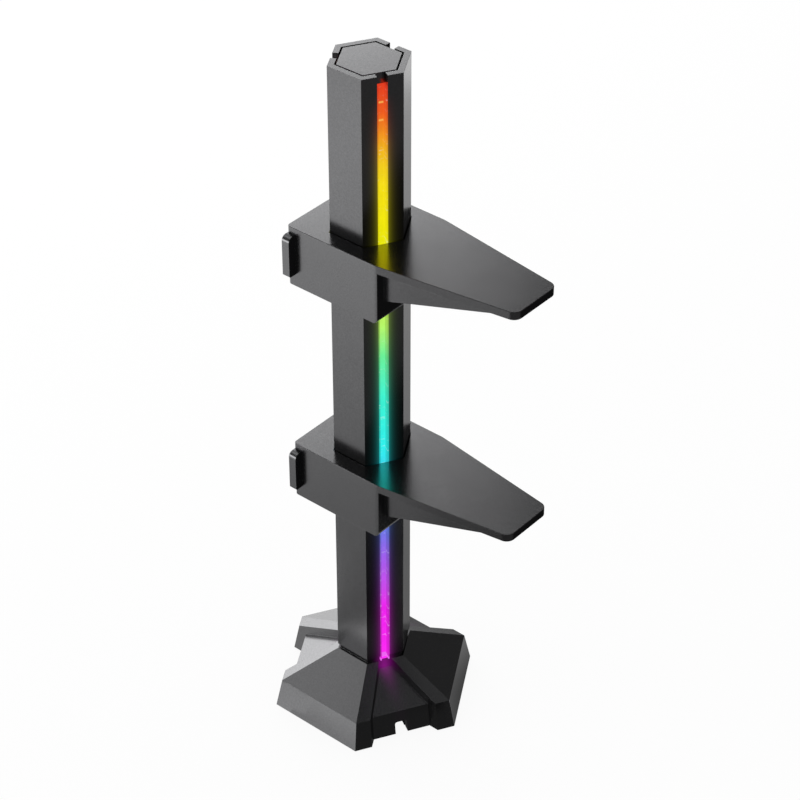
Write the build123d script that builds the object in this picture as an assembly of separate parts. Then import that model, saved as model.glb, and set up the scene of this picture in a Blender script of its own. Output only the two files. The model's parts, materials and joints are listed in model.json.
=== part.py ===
# Graphics card support bracket: a six-sided lit column on a flared base, with two arms that
# slide on the column and are held by a sprung clamp shoe behind each arm's latch plate.
# Millimetres. +Z is up, z = 0 is the floor under the foot pad, the Z axis is the column's axis,
# and the arms' blades point along +X. The column's corners lie at 0, 60, 120 ... degrees, and its
# faces are counted from 0, between the corners at 0 and 60 degrees.
from build123d import *
from math import cos, radians, sin, sqrt, tan
import os

# column
COLUMN_ACROSS_FLATS = 19.0
COLUMN_LENGTH = 187.2
COLUMN_WALL = 1.6
LIGHT_SLOT_WIDTH = 2.75
BORE_DIAMETER = 4.5
SCREW_PORT_DIAMETER = 2.5
SCREW_PORT_WALL = 0.85
GROOVE_RIB = 1.2
SLOT_FACES = {"front": 5, "rear": 1, "left": 3}
LOBE_FACES = (0, 2, 4)

# light bars and strips
BAR_WIDTH = 5.2
BAR_THICKNESS = 1.2
BAR_CHANNEL_FLOOR = 0.5
BAR_LIP_THICKNESS = 0.35
STRIP_WIDTH = 4.2
STRIP_THICKNESS = 0.3
STRIP_GROOVE_DEPTH = 2.2
CHIP_SIZE = 2.2
CHIP_HEIGHT = 0.9
CHIP_PITCH = 7.0
CHIP_START = 3.5

# cap
CAP_THICKNESS = 3.0
CAP_SEAM = 0.42
CAP_EDGE_CHAMFER = 0.12
CAP_PEG_LENGTH = 6.0

# base
BASE_HEIGHT = 16.0
SEAM_HEIGHT = 1.7
NECK_INSET = 0.7
SLOPE_REACH = 17.1
BAND_REACH = 2.0
BAND_HEIGHT = 8.8
BASE_WALL = 2.2
RECESS_DEPTH = 2.75
RECESS_SETBACK = 2.65
LEG_STRIP_TOP = 3.0
RECESS_DRAFT = 4.7
NOTCH_WIDTH = 3.65
NOTCH_HEIGHT = 3.75
NOTCH_CORNER = 0.7
NOTCH_RUN = 7.0

# underside of the base
PAD_THICKNESS = 0.8
PAD_PROUD = 0.4
PAD_MARGIN = 0.8
COVER_THICKNESS = 2.0
MAGNET_DIAMETER = 10.0
MAGNET_THICKNESS = 3.0
MAGNET_CUP_WALL = 1.1
MAGNET_REACH = 14.8
BOARD_THICKNESS = 1.0
BOARD_ACROSS_FLATS = 15.0
BOARD_POST_HEIGHT = 3.4
BOARD_POST_DIAMETER = 2.4
SOCKET_LENGTH = 5.8
SOCKET_DEPTH = 5.0
SOCKET_HEIGHT = 3.3
SOCKET_WALL = 0.55
SOCKET_FLOOR = 1.5
PIN_SIZE = 0.5
PIN_PITCH = 1.45
COVER_BOSS_DIAMETER = 5.0
COVER_BOSS_REACH = 22.0
COVER_BOSS_TURN = 20.0

# screws: the drive's size as a share of the head, then each screw's shank diameter, head
# diameter and head height, and how far it bites
DRIVE_SHARE = 0.25
DRIVE_DEPTH_SHARE = 0.5
COLUMN_SCREW = (2.4, 5.0, 1.8)
COLUMN_SCREW_BITE = 9.0
COVER_SCREW = (2.0, 3.8, 1.1)
COVER_SCREW_BITE = 4.5
ARM_SCREW = (1.4, 2.5, 0.8)
ARM_SCREW_BITE = 4.0
LATCH_SCREW = (1.6, 2.8, 0.8)
LATCH_SCREW_BITE = 1.7

# arms, measured down from the top face and out from the column's hole
UPPER_ARM_DROP = 47.7
ARM_SPACING = 69.6
ARM_HEIGHT = 17.5
ARM_PLATE = 2.25
ARM_ROOF = 2.6
ARM_SIDE_WALL = 4.25
ARM_NOSE_WALL = 2.65
ARM_TAIL = 5.1
ARM_TAIL_CORNER = 1.2
ARM_LOWER_CORNER = 1.5
BLADE_REACH = 39.5
BLADE_TIP_HALF_WIDTH = 8.2
BLADE_BEND_SETBACK = 0.7
BLADE_TIP_CORNER = 2.5
BLADE_BEND_RADIUS = 8.0
WEB_THICKNESS = 1.8
WEB_ROOT_INSET = 2.6
WEB_TIP_INSET = 1.7
WEB_ROOT_HEIGHT = 11.7
WEB_TIP_SETBACK = 2.9
RIB_THICKNESS = 1.4
RIB_ROOT_HEIGHT = 8.0
CORE_WALL = 2.0
ARM_COVER_THICKNESS = 1.5
ARM_COVER_RIM = 1.3
ARM_SCREW_SPREAD = 3.4
ARM_EDGE_CHAMFER = 0.12

# latch, clamp shoe and springs
LATCH_THICKNESS = 2.65
LATCH_EAR = 2.2
LATCH_HEIGHT = 12.0
LATCH_DROP = 2.05
LATCH_CORNER = 1.7
LATCH_LOWER_CORNER = 0.5
LATCH_EDGE_CHAMFER = 0.3
LATCH_TRAVEL = 1.5
LATCH_BACK_WALL = 1.2
SHOE_HEIGHT = 8.0
SHOE_HALF_WIDTH = 9.0
SHOE_BOSS_HALF_WIDTH = 5.5
SHOE_FOOT_THICKNESS = 1.7
CLAMP_PAD_THICKNESS = 0.8
CLAMP_PAD_MARGIN = 0.5
SPRING_WIRE = 0.4
SPRING_DIAMETER = 2.6
SPRING_TURNS = 3.5
LATCH_SCREW_SPREAD = 4.0

# clearances
SLIDE_CLEARANCE = 0.25
FIT_CLEARANCE = 0.1
RUN_CLEARANCE = 0.15
OVERCUT = 1.0
CLAMP_CLEARANCE = 0.05

# places worked out from the sizes above
FACE_AZIMUTHS = [60.0 * face + 30.0 for face in range(6)]
SLOT_AZIMUTHS = {place: FACE_AZIMUTHS[face] for place, face in SLOT_FACES.items()}
LOBE_AZIMUTHS = [FACE_AZIMUTHS[face] for face in LOBE_FACES]
COS30 = cos(radians(30))
TAN30 = tan(radians(30))
HALF_FLATS = COLUMN_ACROSS_FLATS / 2
COLUMN_RADIUS = HALF_FLATS / COS30
SHELL_BOTTOM = PAD_PROUD
BASE_TOP = SHELL_BOTTOM + BASE_HEIGHT
COLUMN_BOTTOM = BASE_TOP + SEAM_HEIGHT
COLUMN_TOP = COLUMN_BOTTOM + COLUMN_LENGTH
RECESS_TOP = BASE_TOP - RECESS_DEPTH
INNER_APOTHEM = HALF_FLATS - COLUMN_WALL
BAR_BACK = INNER_APOTHEM - BAR_THICKNESS - FIT_CLEARANCE
GROOVE_FLOOR = BAR_BACK - STRIP_GROOVE_DEPTH
PORT_OUTER_RADIUS = SCREW_PORT_DIAMETER / 2 + SCREW_PORT_WALL
PORT_REACH = INNER_APOTHEM - SCREW_PORT_DIAMETER / 2 - FIT_CLEARANCE

SLOPE_RADIUS = COLUMN_RADIUS + SLOPE_REACH
FOOT_RADIUS = SLOPE_RADIUS + BAND_REACH
FOOT_APOTHEM = FOOT_RADIUS * COS30
BAND_LEAN = BAND_REACH * COS30 / BAND_HEIGHT
SLOPE_RUN = SLOPE_REACH * COS30 / (BASE_HEIGHT - BAND_HEIGHT)
SLOPE_STRETCH = sqrt(1 + 1 / SLOPE_RUN**2)
CEILING = RECESS_TOP - BASE_WALL * SLOPE_STRETCH
COVER_BOTTOM = PAD_THICKNESS
COVER_TOP = COVER_BOTTOM + COVER_THICKNESS
BOARD_BOTTOM = COVER_TOP + BOARD_POST_HEIGHT

HOLE_APOTHEM = HALF_FLATS + SLIDE_CLEARANCE
HOLE_RADIUS = HOLE_APOTHEM / COS30
ARM_HALF_DEPTH = HOLE_APOTHEM + ARM_SIDE_WALL
ARM_NOSE = HOLE_RADIUS + ARM_NOSE_WALL
ARM_TAIL_END = -(HOLE_RADIUS + ARM_TAIL)
LATCH_SEAT = ARM_TAIL_END + LATCH_THICKNESS
CHAMBER_END = LATCH_SEAT + LATCH_BACK_WALL
CHAMBER_HALF_WIDTH = ARM_HALF_DEPTH - CORE_WALL
SHOE_APOTHEM = HALF_FLATS + CLAMP_CLEARANCE + CLAMP_PAD_THICKNESS
SHOE_FRONT = -(SHOE_APOTHEM / COS30 - SHOE_HALF_WIDTH * TAN30)
SHOE_FOOT_BACK = SHOE_FRONT - SHOE_FOOT_THICKNESS
SHOE_WING_BACK = CHAMBER_END + LATCH_TRAVEL + RUN_CLEARANCE
CHAMBER_NOSE = SHOE_HALF_WIDTH * TAN30 - COLUMN_RADIUS
SPRING_LENGTH = SHOE_FOOT_BACK - CHAMBER_END - 2 * FIT_CLEARANCE
SPRING_SPREAD = CHAMBER_HALF_WIDTH - SPRING_DIAMETER / 2 - RUN_CLEARANCE
SHOE_REACH = SPRING_SPREAD + SPRING_DIAMETER / 2
LATCH_MIDDLE = LATCH_DROP + LATCH_HEIGHT / 2
ARM_TOPS = {
    "upper": COLUMN_TOP - UPPER_ARM_DROP,
    "lower": COLUMN_TOP - UPPER_ARM_DROP - ARM_SPACING,
}


def hexagon(apothem):
    return RegularPolygon(apothem, 6, major_radius=False)


def slab(sketch, bottom, top):
    return extrude(Pos(0, 0, bottom) * sketch, top - bottom)


def block(x, y, z):
    """A box from its low and high coordinate along each axis."""
    size = (x[1] - x[0], y[1] - y[0], z[1] - z[0])
    middle = ((x[0] + x[1]) / 2, (y[0] + y[1]) / 2, (z[0] + z[1]) / 2)
    return Pos(*middle) * Box(*size)


def rod(diameter, bottom, top, x=0, y=0):
    return Pos(x, y, (bottom + top) / 2) * Cylinder(diameter / 2, top - bottom)


def strip_sketch(inner, outer, width):
    """A rectangle from one distance from the axis to another, along +X."""
    return Pos((inner + outer) / 2, 0) * Rectangle(outer - inner, width)


def groove_sketch():
    """Section of one light groove along +X: the strip's groove and the bar's."""
    groove = strip_sketch(GROOVE_FLOOR, BAR_BACK, STRIP_WIDTH + 2 * FIT_CLEARANCE)
    return groove + strip_sketch(BAR_BACK, INNER_APOTHEM, BAR_WIDTH + 2 * FIT_CLEARANCE)


def screw(size, length, bottom, x=0, y=0):
    """A pan-head screw that stands head down, with its head's seat at bottom."""
    shank, head, head_height = size
    body = rod(shank, bottom, bottom + length, x, y)
    body += rod(head, bottom - head_height, bottom, x, y)
    drive = extrude(RegularPolygon(head * DRIVE_SHARE, 6), head_height * DRIVE_DEPTH_SHARE)
    return body - Pos(x, y, bottom - head_height) * drive


def slot_sketch(outer):
    """Section of the slot along +X, between the two lips of the wall."""
    return strip_sketch(INNER_APOTHEM, outer, LIGHT_SLOT_WIDTH)


def polar(reach, azimuth):
    return reach * cos(radians(azimuth)), reach * sin(radians(azimuth))


def make_column():
    section = hexagon(HALF_FLATS)
    for azimuth in SLOT_AZIMUTHS.values():
        section -= Rot(0, 0, azimuth) * (groove_sketch() + slot_sketch(COLUMN_RADIUS))
    section -= Circle(BORE_DIAMETER / 2)
    core_reach = BORE_DIAMETER / 2 + GROOVE_RIB
    for azimuth in LOBE_AZIMUTHS:
        lobe = hexagon(INNER_APOTHEM) - Circle(core_reach)
        for slot_azimuth in SLOT_AZIMUTHS.values():
            rib = strip_sketch(0, HALF_FLATS, BAR_WIDTH + 2 * FIT_CLEARANCE + 2 * GROOVE_RIB)
            lobe -= Rot(0, 0, slot_azimuth) * rib
        port = Pos(*polar(PORT_REACH, azimuth)) * Circle(PORT_OUTER_RADIUS)
        sector = Rot(0, 0, azimuth) * (Pos(HALF_FLATS, 0) * Rectangle(HALF_FLATS * 2, HALF_FLATS))
        section -= (lobe & sector) - port
        section -= Pos(*polar(PORT_REACH, azimuth)) * Circle(SCREW_PORT_DIAMETER / 2)
    column = slab(section, COLUMN_BOTTOM, COLUMN_TOP)
    return column - slab(hexagon(INNER_APOTHEM), COLUMN_TOP - CAP_THICKNESS, COLUMN_TOP)


def make_top_cap():
    plate = slab(hexagon(INNER_APOTHEM - CAP_SEAM), COLUMN_TOP - CAP_THICKNESS, COLUMN_TOP)
    plate = chamfer(plate.faces().sort_by(Axis.Z)[-1].edges(), CAP_EDGE_CHAMFER)
    seat = COLUMN_TOP - CAP_THICKNESS
    for azimuth in LOBE_AZIMUTHS:
        peg = rod(SCREW_PORT_DIAMETER - FIT_CLEARANCE, seat - CAP_PEG_LENGTH, seat)
        plate += Pos(*polar(PORT_REACH, azimuth)) * peg
    return plate


def make_light_bar(azimuth):
    """Channel of milky plastic whose two lips line the slot."""
    inner = BAR_BACK + FIT_CLEARANCE / 2
    face = inner + BAR_THICKNESS
    lip_end = HALF_FLATS - FIT_CLEARANCE
    lined = LIGHT_SLOT_WIDTH - FIT_CLEARANCE
    top = COLUMN_TOP - CAP_THICKNESS
    bar = slab(strip_sketch(inner, face, BAR_WIDTH), RECESS_TOP, top)
    bar += slab(strip_sketch(face, lip_end, lined), BASE_TOP, top)
    channel = strip_sketch(inner + BAR_CHANNEL_FLOOR, lip_end, lined - 2 * BAR_LIP_THICKNESS)
    bar -= slab(channel, RECESS_TOP, top)
    return Rot(0, 0, azimuth) * bar


def make_led_strip(azimuth):
    bottom = BOARD_BOTTOM + BOARD_THICKNESS
    top = COLUMN_TOP - CAP_THICKNESS - RUN_CLEARANCE
    board = strip_sketch(GROOVE_FLOOR, GROOVE_FLOOR + STRIP_THICKNESS, STRIP_WIDTH)
    strip = slab(board, bottom, top)
    face = GROOVE_FLOOR + STRIP_THICKNESS
    chip = slab(strip_sketch(face, face + CHIP_HEIGHT, CHIP_SIZE), -CHIP_SIZE / 2, CHIP_SIZE / 2)
    z = COLUMN_BOTTOM + CHIP_START
    while z < top - CHIP_SIZE:
        strip += Pos(0, 0, z) * chip
        z += CHIP_PITCH
    return Rot(0, 0, azimuth) * strip


def flare(lower_by, set_back):
    """Six-sided flare of the base, with its slope lowered and its band set back."""
    foot = FOOT_APOTHEM - set_back
    slope_top = BASE_HEIGHT - lower_by
    break_height = (HALF_FLATS + SLOPE_RUN * slope_top - foot) / (SLOPE_RUN - BAND_LEAN)
    break_apothem = foot - BAND_LEAN * break_height
    levels = [(foot, 0), (break_apothem, break_height), (HALF_FLATS, slope_top)]
    solid = None
    for (low_apothem, low), (high_apothem, high) in zip(levels, levels[1:]):
        sections = [
            Pos(0, 0, SHELL_BOTTOM + low) * hexagon(low_apothem),
            Pos(0, 0, SHELL_BOTTOM + high) * hexagon(high_apothem),
        ]
        stage = loft(sections, ruled=True)
        solid = stage if solid is None else solid + stage
    return solid


def wedge_sketch(azimuth, edge_offset):
    """A sixty degree wedge that opens along the azimuth, its sides moved inwards by edge_offset."""
    far = 2 * FOOT_RADIUS
    apex = 2 * edge_offset
    half = (far - apex) * TAN30
    return Rot(0, 0, azimuth) * make_face(Polyline((apex, 0), (far, -half), (far, half), close=True))


def recess_wedge(azimuth):
    top = BASE_TOP + SEAM_HEIGHT / 2
    sketch = Pos(0, 0, top) * wedge_sketch(azimuth, LEG_STRIP_TOP)
    return extrude(sketch, -(top - SHELL_BOTTOM + BAND_REACH), taper=RECESS_DRAFT)


def notch(azimuth):
    """Cable notch at the foot of a recessed panel, with round upper corners."""
    profile = Rectangle(NOTCH_WIDTH, 2 * NOTCH_HEIGHT)
    profile = fillet(profile.vertices(), NOTCH_CORNER)
    cutter = extrude(Plane.YZ * profile, FOOT_RADIUS)
    return Rot(0, 0, azimuth) * Pos(FOOT_APOTHEM - RECESS_SETBACK - NOTCH_RUN, 0, SHELL_BOTTOM) * cutter


def base_cavity(wall):
    """Hollow of the base: under the recessed panels all round, and further out in the legs."""
    down = wall * SLOPE_STRETCH
    cavity = flare(RECESS_DEPTH + down, RECESS_SETBACK + wall)
    legs = flare(down, wall)
    for azimuth in LOBE_AZIMUTHS:
        leg = slab(wedge_sketch(azimuth, wall - LEG_STRIP_TOP), SHELL_BOTTOM, CEILING)
        cavity += legs & leg
    return cavity


def cover_boss_places():
    return [polar(COVER_BOSS_REACH, azimuth + COVER_BOSS_TURN) for azimuth in LOBE_AZIMUTHS]


def make_base_shell():
    neck_top = COLUMN_BOTTOM
    neck = slab(hexagon(HALF_FLATS - NECK_INSET), SHELL_BOTTOM, neck_top)
    recessed = flare(RECESS_DEPTH, RECESS_SETBACK)
    shell = flare(0, 0)
    for azimuth in SLOT_AZIMUTHS.values():
        shell -= recess_wedge(azimuth) - recessed - neck
    shell += neck
    shell -= base_cavity(BASE_WALL)
    roof = flare(BASE_WALL, BASE_WALL)
    for x, y in cover_boss_places():
        shell += rod(COVER_BOSS_DIAMETER, COVER_TOP, BASE_TOP, x, y) & roof
        hole_top = COVER_TOP + COVER_SCREW_BITE + RUN_CLEARANCE
        shell -= rod(COVER_SCREW[0] - FIT_CLEARANCE, COVER_TOP, hole_top, x, y)
    for azimuth in SLOT_AZIMUTHS.values():
        shell -= notch(azimuth)
        shell -= Rot(0, 0, azimuth) * slab(groove_sketch(), CEILING - OVERCUT, neck_top)
        shell -= Rot(0, 0, azimuth) * slab(slot_sketch(HALF_FLATS), BASE_TOP, neck_top)
    for azimuth in LOBE_AZIMUTHS:
        hole = rod(COLUMN_SCREW[0] + 2 * FIT_CLEARANCE, CEILING - OVERCUT, neck_top)
        shell -= Pos(*polar(PORT_REACH, azimuth)) * hole
    return shell


def underside(inset):
    """Plan of the opening under the base, drawn in by inset."""
    foot = FOOT_APOTHEM - BASE_WALL - inset
    plan = hexagon(foot - RECESS_SETBACK)
    for azimuth in LOBE_AZIMUTHS:
        plan += hexagon(foot) & wedge_sketch(azimuth, BASE_WALL + inset - LEG_STRIP_TOP)
    for azimuth in SLOT_AZIMUTHS.values():
        inner = FOOT_APOTHEM - RECESS_SETBACK - NOTCH_RUN
        plan -= Rot(0, 0, azimuth) * strip_sketch(inner, FOOT_RADIUS, NOTCH_WIDTH)
    return plan


def magnet_places():
    return [polar(MAGNET_REACH, azimuth) for azimuth in LOBE_AZIMUTHS]


def board_post_places():
    reach = BOARD_ACROSS_FLATS / 2 - BOARD_POST_DIAMETER / 2
    return [polar(reach, azimuth) for azimuth in LOBE_AZIMUTHS]


def make_base_cover():
    inset = FIT_CLEARANCE + BAND_LEAN * (COVER_TOP - SHELL_BOTTOM)
    cover = slab(underside(inset), COVER_BOTTOM, COVER_TOP)
    cup_radius = MAGNET_DIAMETER / 2 + FIT_CLEARANCE
    for x, y in magnet_places():
        cup = Circle(cup_radius + MAGNET_CUP_WALL) - Circle(cup_radius)
        cover += Pos(x, y) * slab(cup, COVER_TOP, COVER_TOP + MAGNET_THICKNESS)
    for x, y in board_post_places():
        cover += rod(BOARD_POST_DIAMETER, COVER_TOP, BOARD_BOTTOM, x, y)
    for x, y in cover_boss_places():
        cover -= rod(COVER_SCREW[0] + 2 * FIT_CLEARANCE, COVER_BOTTOM, COVER_TOP, x, y)
        head_top = COVER_BOTTOM + COVER_SCREW[2]
        cover -= rod(COVER_SCREW[1] + 2 * FIT_CLEARANCE, COVER_BOTTOM, head_top, x, y)
    return cover


def make_foot_pad():
    return slab(underside(PAD_MARGIN), 0, PAD_THICKNESS)


def make_base_magnets():
    return [rod(MAGNET_DIAMETER, COVER_TOP, COVER_TOP + MAGNET_THICKNESS, x, y) for x, y in magnet_places()]


def make_column_screws():
    length = COLUMN_BOTTOM - CEILING + COLUMN_SCREW_BITE
    places = [polar(PORT_REACH, azimuth) for azimuth in LOBE_AZIMUTHS]
    return [screw(COLUMN_SCREW, length, CEILING, x, y) for x, y in places]


def make_base_cover_screws():
    seat = COVER_BOTTOM + COVER_SCREW[2]
    length = COVER_TOP - seat + COVER_SCREW_BITE
    shank, head, head_height = COVER_SCREW
    size = (shank - FIT_CLEARANCE, head, head_height)
    return [screw(size, length, seat, x, y) for x, y in cover_boss_places()]


def make_junction_board():
    board = slab(hexagon(BOARD_ACROSS_FLATS / 2), BOARD_BOTTOM, BOARD_BOTTOM + BOARD_THICKNESS)
    return board - rod(BORE_DIAMETER, BOARD_BOTTOM, BOARD_BOTTOM + BOARD_THICKNESS)


def make_lead_socket():
    """Three-pin socket under the board, its mouth towards the rear cable notch."""
    half = SOCKET_LENGTH / 2
    mouth = BOARD_ACROSS_FLATS / 2
    back = mouth - SOCKET_DEPTH
    bottom = BOARD_BOTTOM - SOCKET_HEIGHT
    body = block((-half, half), (back, mouth), (bottom, BOARD_BOTTOM))
    inside = half - SOCKET_WALL
    low, high = bottom + SOCKET_WALL, BOARD_BOTTOM - SOCKET_WALL
    body -= block((-inside, inside), (back + SOCKET_FLOOR, mouth), (low, high))
    middle = (bottom + BOARD_BOTTOM) / 2
    pin = Box(PIN_SIZE, SOCKET_DEPTH - SOCKET_FLOOR, PIN_SIZE)
    for x in (-PIN_PITCH, 0, PIN_PITCH):
        body += Pos(x, mouth - SOCKET_WALL - (SOCKET_DEPTH - SOCKET_FLOOR) / 2, middle) * pin
    return body


def blade_sketch():
    """Plan of an arm's top plate: the block's rectangle and the tapered blade."""
    bend = ARM_NOSE - BLADE_BEND_SETBACK
    tip = ARM_NOSE + BLADE_REACH
    near = (ARM_TAIL_END, ARM_HALF_DEPTH)
    outline = [near, (bend, ARM_HALF_DEPTH), (tip, BLADE_TIP_HALF_WIDTH)]
    outline += [(x, -y) for x, y in reversed(outline)]
    plan = make_face(Polyline(*outline, close=True))
    corners = plan.vertices().sort_by(Axis.X)
    plan = fillet(corners[0:2], ARM_TAIL_CORNER)
    corners = plan.vertices().sort_by(Axis.X)
    plan = fillet(corners[-2:], BLADE_TIP_CORNER)
    corners = plan.vertices().filter_by_position(Axis.X, bend - FIT_CLEARANCE, bend + FIT_CLEARANCE)
    return fillet(corners, BLADE_BEND_RADIUS)


def web(side, top):
    """One tapered web under the blade, on the side of the given sign."""
    root = ARM_NOSE - CORE_WALL / 2
    tip = ARM_NOSE + BLADE_REACH - WEB_TIP_SETBACK
    root_y = ARM_HALF_DEPTH - WEB_ROOT_INSET
    taper = (ARM_HALF_DEPTH - BLADE_TIP_HALF_WIDTH) / BLADE_REACH
    tip_y = BLADE_TIP_HALF_WIDTH + WEB_TIP_SETBACK * taper - WEB_TIP_INSET
    plan = [(root, root_y), (tip, tip_y), (tip, tip_y - WEB_THICKNESS), (root, root_y - WEB_THICKNESS)]
    wall = slab(make_face(Polyline(*plan, close=True)), top - WEB_ROOT_HEIGHT, top - ARM_PLATE / 2)
    side_view = [
        (ARM_NOSE, top),
        (tip, top),
        (tip, top - ARM_PLATE),
        (ARM_NOSE, top - WEB_ROOT_HEIGHT),
        (root, top - WEB_ROOT_HEIGHT),
        (root, top),
    ]
    profile = Plane.XZ * make_face(Polyline(*side_view, close=True))
    wall &= extrude(profile, ARM_HALF_DEPTH, both=True)
    return wall if side > 0 else mirror(wall, Plane.XZ)


def centre_rib(top):
    root = ARM_NOSE - CORE_WALL / 2
    tip = ARM_NOSE + BLADE_REACH - WEB_TIP_SETBACK
    side_view = [
        (root, top - ARM_PLATE / 2),
        (tip, top - ARM_PLATE / 2),
        (tip, top - ARM_PLATE),
        (root, top - RIB_ROOT_HEIGHT),
    ]
    profile = Plane.XZ * make_face(Polyline(*side_view, close=True))
    return extrude(profile, RIB_THICKNESS / 2, both=True)


def cover_outline(clearance):
    x = (ARM_TAIL_END + ARM_COVER_RIM + clearance, ARM_NOSE - ARM_LOWER_CORNER - clearance)
    half = ARM_HALF_DEPTH - ARM_COVER_RIM - clearance
    return Pos((x[0] + x[1]) / 2, 0) * Rectangle(x[1] - x[0], 2 * half)


def arm_screw_places():
    y = HOLE_APOTHEM + ARM_SCREW[1] / 2 + RUN_CLEARANCE
    return [(x, side * y) for x in (-ARM_SCREW_SPREAD, ARM_SCREW_SPREAD) for side in (-1, 1)]


def nose_pocket(side, top, bottom):
    """Three-cornered core beside the column, in a corner of the block's nose."""
    x_wall = ARM_NOSE - CORE_WALL
    y_wall = ARM_HALF_DEPTH - CORE_WALL
    reach = HOLE_APOTHEM + CORE_WALL
    near_x = (reach - y_wall / 2) / COS30
    near_y = (reach - x_wall * COS30) * 2
    plan = make_face(Polyline((near_x, y_wall), (x_wall, y_wall), (x_wall, near_y), close=True))
    core = slab(plan, bottom, top)
    return core if side > 0 else mirror(core, Plane.XZ)


def make_arm(top):
    bottom = top - ARM_HEIGHT
    roof = top - ARM_ROOF
    plan = blade_sketch()
    block_end = slab(strip_sketch(ARM_TAIL_END, ARM_NOSE, 2 * ARM_HALF_DEPTH), bottom, top)
    body = slab(plan, bottom, top) & block_end
    nose_edge = body.edges().filter_by(Axis.Y).sort_by(lambda edge: edge.center().X - edge.center().Z)[-1]
    body = fillet(nose_edge, ARM_LOWER_CORNER)
    plate = slab(plan, top - ARM_PLATE, top)
    plate = chamfer(plate.faces().sort_by(Axis.Z)[-1].edges(), ARM_EDGE_CHAMFER)
    crown = slab(plan, top - ARM_PLATE, top)
    arm = body - crown + plate
    arm += web(1, top) + web(-1, top) + centre_rib(top)
    arm -= slab(hexagon(HOLE_APOTHEM), bottom, top)
    chamber_y = (-CHAMBER_HALF_WIDTH, CHAMBER_HALF_WIDTH)
    arm -= block((CHAMBER_END, CHAMBER_NOSE), chamber_y, (bottom, roof))
    arm -= slab(cover_outline(0), bottom, bottom + ARM_COVER_THICKNESS)
    for side in (-1, 1):
        arm -= nose_pocket(side, roof, bottom)
    slot_top = top - LATCH_DROP + RUN_CLEARANCE
    slot_bottom = top - LATCH_DROP - LATCH_HEIGHT - RUN_CLEARANCE
    ear = ARM_HALF_DEPTH + LATCH_EAR
    arm -= block((ARM_TAIL_END - OVERCUT, LATCH_SEAT), (-ear, ear), (slot_bottom, slot_top))
    window_half = SHOE_BOSS_HALF_WIDTH + RUN_CLEARANCE
    middle = top - LATCH_MIDDLE
    window_z = (middle - SHOE_HEIGHT / 2 - RUN_CLEARANCE, middle + SHOE_HEIGHT / 2 + RUN_CLEARANCE)
    arm -= block((LATCH_SEAT - OVERCUT, CHAMBER_END + OVERCUT), (-window_half, window_half), window_z)
    seat = bottom + ARM_COVER_THICKNESS
    for x, y in arm_screw_places():
        arm -= rod(ARM_SCREW[0], seat, seat + ARM_SCREW_BITE + RUN_CLEARANCE, x, y)
    return arm


def make_arm_cover(top):
    bottom = top - ARM_HEIGHT
    plan = cover_outline(FIT_CLEARANCE) - hexagon(HOLE_APOTHEM)
    cover = slab(plan, bottom, bottom + ARM_COVER_THICKNESS)
    for x, y in arm_screw_places():
        cover -= rod(ARM_SCREW[0] + FIT_CLEARANCE, bottom, bottom + ARM_COVER_THICKNESS, x, y)
        cover -= rod(ARM_SCREW[1] + FIT_CLEARANCE, bottom, bottom + ARM_SCREW[2], x, y)
    return cover


def make_arm_screws(top):
    seat = top - ARM_HEIGHT + ARM_SCREW[2]
    length = ARM_COVER_THICKNESS - ARM_SCREW[2] + ARM_SCREW_BITE
    return [screw(ARM_SCREW, length, seat, x, y) for x, y in arm_screw_places()]


def latch_screw_heights(top):
    middle = top - LATCH_MIDDLE
    return (middle - LATCH_SCREW_SPREAD / 2, middle + LATCH_SCREW_SPREAD / 2)


def latch_screw_seat():
    """Place along X of the latch screw heads' seat, clear of the column's corner."""
    return -(COLUMN_RADIUS + 2 * FIT_CLEARANCE + LATCH_SCREW[2])


def make_latch_plate(top):
    middle = top - LATCH_MIDDLE
    profile = Rectangle(2 * (ARM_HALF_DEPTH + LATCH_EAR), LATCH_HEIGHT)
    corners = profile.vertices().sort_by(Axis.Y)
    profile = fillet(corners[2:], LATCH_CORNER)
    corners = profile.vertices().sort_by(Axis.Y)
    profile = fillet(corners[:2], LATCH_LOWER_CORNER)
    plate = Pos(ARM_TAIL_END, 0, middle) * extrude(Plane.YZ * profile, LATCH_THICKNESS)
    plate = chamfer(plate.faces().sort_by(Axis.X)[0].edges(), LATCH_EDGE_CHAMFER)
    for z in latch_screw_heights(top):
        hole = rod(LATCH_SCREW[0], -LATCH_SCREW_BITE - FIT_CLEARANCE, 0)
        plate -= Pos(LATCH_SEAT, 0, z) * Rot(0, 90, 0) * hole
    return plate


def make_clamp_shoe(top):
    """Shoe with two faces that follow the column's faces beside its left corner."""
    vee = -SHOE_APOTHEM / COS30
    half = [
        (LATCH_SEAT, 0),
        (LATCH_SEAT, SHOE_BOSS_HALF_WIDTH),
        (SHOE_WING_BACK, SHOE_BOSS_HALF_WIDTH),
        (SHOE_WING_BACK, SHOE_BOSS_HALF_WIDTH + SHOE_FOOT_THICKNESS / 2),
        (SHOE_FOOT_BACK, SHOE_HALF_WIDTH),
        (SHOE_FOOT_BACK, SHOE_REACH),
        (SHOE_FRONT, SHOE_REACH),
        (SHOE_FRONT, SHOE_HALF_WIDTH),
        (vee, 0),
    ]
    outline = half + [(x, -y) for x, y in reversed(half[1:-1])]
    middle = top - LATCH_MIDDLE
    shoe = slab(make_face(Polyline(*outline, close=True)), middle - SHOE_HEIGHT / 2, middle + SHOE_HEIGHT / 2)
    seat = latch_screw_seat()
    for z in latch_screw_heights(top):
        along = Pos(0, 0, z) * Rot(0, 90, 0)
        shoe -= along * rod(LATCH_SCREW[0] + FIT_CLEARANCE, LATCH_SEAT, seat)
        shoe -= along * rod(LATCH_SCREW[1] + 2 * FIT_CLEARANCE, seat, 0)
    return shoe


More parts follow.
